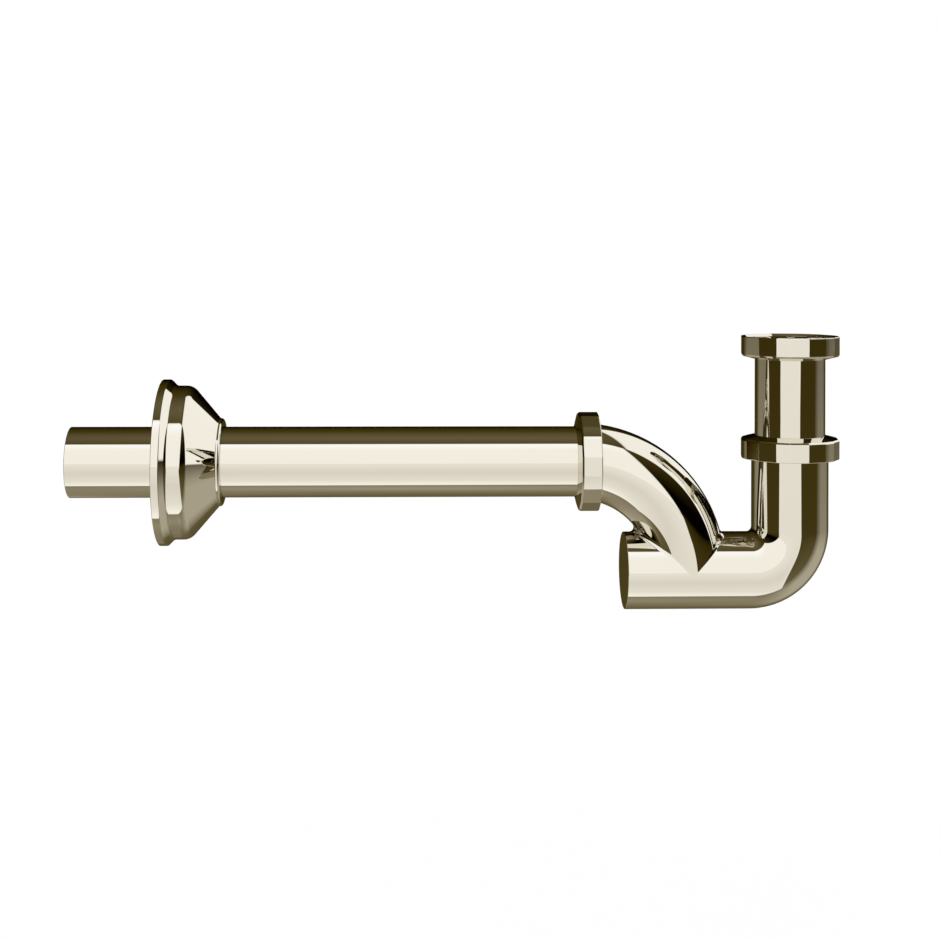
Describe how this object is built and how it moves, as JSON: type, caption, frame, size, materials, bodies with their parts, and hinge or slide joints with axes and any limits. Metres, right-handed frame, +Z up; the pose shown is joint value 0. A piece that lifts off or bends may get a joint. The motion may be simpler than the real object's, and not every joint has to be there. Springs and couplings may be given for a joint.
{
  "type": "tubular basin trap",
  "caption": "Polished tubular basin trap: union-nut inlet, tight bend with a closed stub, quarter-bend arm, straight wall tube and a stepped cone wall flange.",
  "frame": {"origin": "centre of the basin waste's seat: the top face of the union gasket, on the inlet tube's axis", "axes": "+Z up the inlet tube towards the basin, -X along the outlet tube towards the wall, +Y to the left of someone who stands in front of the basin's wall looking at it from the +X side"},
  "size_m": [0.3511, 0.075, 0.125],
  "materials": {
    "polished_metal": "polished nickel plate",
    "black_rubber": "moulded",
    "white_nylon": "moulded"
  },
  "bodies": {
    "inlet": {"inlet_tube": "polished_metal", "union_gasket": "black_rubber"},
    "union_ring": {"union_slip_ring": "white_nylon"},
    "union_nut": {"union_nut": "polished_metal"},
    "inlet_seal": {"inlet_seal": "black_rubber"},
    "trap": {"trap_bend": "polished_metal", "outlet_arm": "polished_metal", "end_disc": "polished_metal", "inlet_collar": "polished_metal", "outlet_collar": "polished_metal"},
    "inlet_ring": {"inlet_slip_ring": "white_nylon"},
    "inlet_nut": {"inlet_nut": "polished_metal"},
    "outlet_seal": {"outlet_seal": "black_rubber"},
    "outlet_ring": {"outlet_slip_ring": "white_nylon"},
    "outlet_nut": {"outlet_nut": "polished_metal"},
    "outlet_tube": {"outlet_tube": "polished_metal"},
    "grip_ring": {"flange_grip_ring": "black_rubber"},
    "wall_flange": {"wall_flange": "polished_metal"}
  },
  "joints": [
    {"name": "union_ring_slide", "type": "slide", "parent": "inlet", "child": "union_ring", "axis": [0, 0, -1], "range_m": [0, 0.0047]},
    {"name": "union_nut_turn", "type": "hinge", "parent": "union_ring", "child": "union_nut", "pos_m": [0, 0, 0], "axis": [0, 0, -1], "range_deg": [0, 720]},
    {"name": "trap_height", "type": "slide", "parent": "inlet", "child": "inlet_seal", "axis": [0, 0, 1], "range_m": [-0.012, 0.018]},
    {"name": "trap_swivel", "type": "hinge", "parent": "inlet_seal", "child": "trap", "pos_m": [0, 0, -0.05125], "axis": [0, 0, 1], "continuous": true},
    {"name": "inlet_ring_slide", "type": "slide", "parent": "trap", "child": "inlet_ring", "axis": [0, 0, 1], "range_m": [0, 0.007]},
    {"name": "inlet_nut_turn", "type": "hinge", "parent": "inlet_ring", "child": "inlet_nut", "pos_m": [0, 0, -0.05125], "axis": [0, 0, 1], "range_deg": [0, 1080]},
    {"name": "outlet_swivel", "type": "hinge", "parent": "trap", "child": "outlet_seal", "pos_m": [-0.0935, 0, -0.05275], "axis": [-1, 0, 0], "continuous": true},
    {"name": "outlet_reach", "type": "slide", "parent": "outlet_seal", "child": "outlet_tube", "axis": [-1, 0, 0], "range_m": [0, 0.004]},
    {"name": "outlet_ring_slide", "type": "slide", "parent": "trap", "child": "outlet_ring", "axis": [-1, 0, 0], "range_m": [0, 0.007]},
    {"name": "outlet_nut_turn", "type": "hinge", "parent": "outlet_ring", "child": "outlet_nut", "pos_m": [-0.0935, 0, -0.05275], "axis": [-1, 0, 0], "range_deg": [0, 1080]},
    {"name": "flange_slide", "type": "slide", "parent": "outlet_tube", "child": "grip_ring", "axis": [1, 0, 0], "range_m": [-0.04, 0.147]},
    {"name": "flange_turn", "type": "hinge", "parent": "grip_ring", "child": "wall_flange", "pos_m": [-0.26, 0, -0.05275], "axis": [1, 0, 0], "continuous": true}
  ],
  "couplings": [
    {"joint": "union_ring_slide", "follows": "union_nut_turn", "m_per_rad": 0.00036749},
    {"joint": "inlet_ring_slide", "follows": "inlet_nut_turn", "m_per_rad": 0.00036749},
    {"joint": "outlet_ring_slide", "follows": "outlet_nut_turn", "m_per_rad": 0.00036749}
  ]
}
